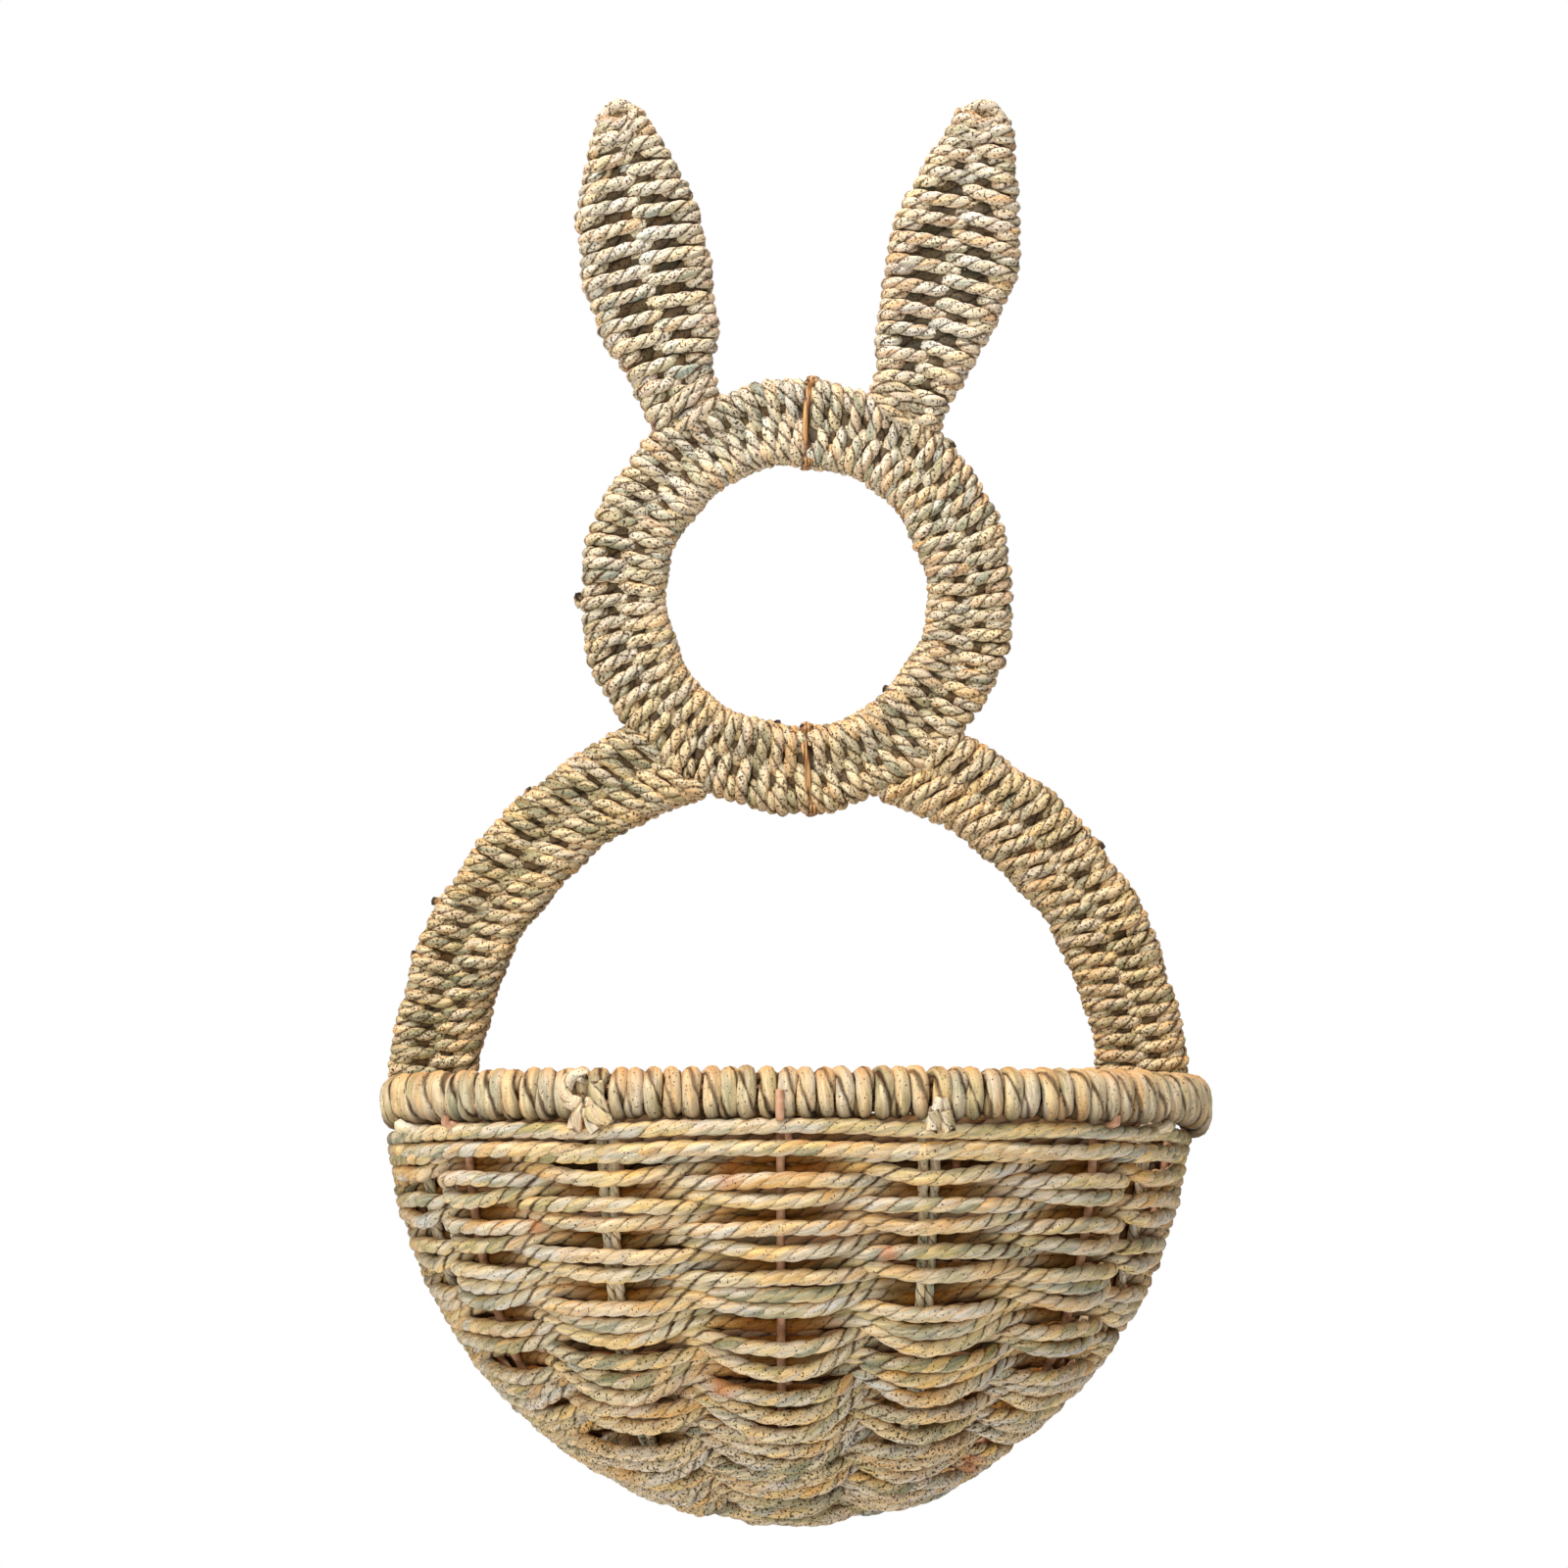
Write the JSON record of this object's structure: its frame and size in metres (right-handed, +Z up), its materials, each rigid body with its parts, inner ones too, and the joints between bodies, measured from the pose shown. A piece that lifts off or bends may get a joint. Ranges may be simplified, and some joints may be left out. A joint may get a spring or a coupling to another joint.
{
  "type": "wall basket",
  "caption": "Rabbit-outline wall basket: wrapped head ring with long ears, open arch and a woven rope half-bowl pocket on a wire frame.",
  "frame": {"origin": "hang point: inner top of the head ring at the wall plane, where a nail or hook carries the basket", "axes": "+Z up the wall, +X to the right seen from the front, +Y into the wall, so the pocket stands out towards -Y"},
  "size_m": [0.296, 0.1206, 0.5062],
  "materials": {
    "wire": "iron wire with a thin brown lacquer, semi-matt",
    "rope_wrap": "twisted dry seagrass rope, matt, wound round two wires",
    "rope_weave": "two-ply twisted dry seagrass rope, matt",
    "tie_strand": "flat brown leaf strand, matt",
    "rope_stake": "pair of grey-green seagrass strands, matt"
  },
  "bodies": {
    "root": {"body_hoop": "wire", "arch_wire_left": "wire", "arch_wire_right": "wire", "head_outer_hoop": "wire", "head_inner_hoop": "wire", "ear_frame_left": "wire", "ear_frame_right": "wire", "rim_upper_wire": "wire", "rim_lower_wire": "wire", "back_rail_wire": "wire", "front_stake_2": "wire", "front_stake_4": "wire", "front_stake_6": "wire", "back_stake_1": "wire", "back_stake_2": "wire", "back_stake_3": "wire", "ear_wrap_left": "rope_wrap", "ear_wrap_right": "rope_wrap", "arch_wrap_left": "rope_wrap", "arch_wrap_right": "rope_wrap", "head_wrap_left": "rope_wrap", "head_wrap_right": "rope_wrap", "rim_wrap": "rope_wrap", "back_rail_wrap": "rope_wrap", "head_tie_top": "tie_strand", "head_tie_bottom": "tie_strand", "front_stake_1": "rope_stake", "front_stake_3": "rope_stake", "front_stake_5": "rope_stake", "front_stake_7": "rope_stake", "front_row_01": "rope_weave", "front_row_02": "rope_weave", "front_row_03": "rope_weave", "front_row_04": "rope_weave", "front_row_05": "rope_weave", "front_row_06": "rope_weave", "front_row_07": "rope_weave", "front_row_08": "rope_weave", "front_row_09": "rope_weave", "front_row_10": "rope_weave", "front_row_11": "rope_weave", "front_row_12": "rope_weave", "front_row_13": "rope_weave", "front_row_14": "rope_weave", "front_row_15": "rope_weave", "front_row_16": "rope_weave", "front_row_17": "rope_weave", "front_row_18": "rope_weave", "front_row_19": "rope_weave", "front_row_20": "rope_weave", "front_row_21": "rope_weave", "back_row_1": "rope_weave", "back_row_2": "rope_weave", "back_row_3": "rope_weave", "back_row_4": "rope_weave", "back_row_5": "rope_weave", "back_row_6": "rope_weave", "back_row_7": "rope_weave", "back_row_8": "rope_weave", "back_row_9": "rope_weave"}
  },
  "joints": []
}
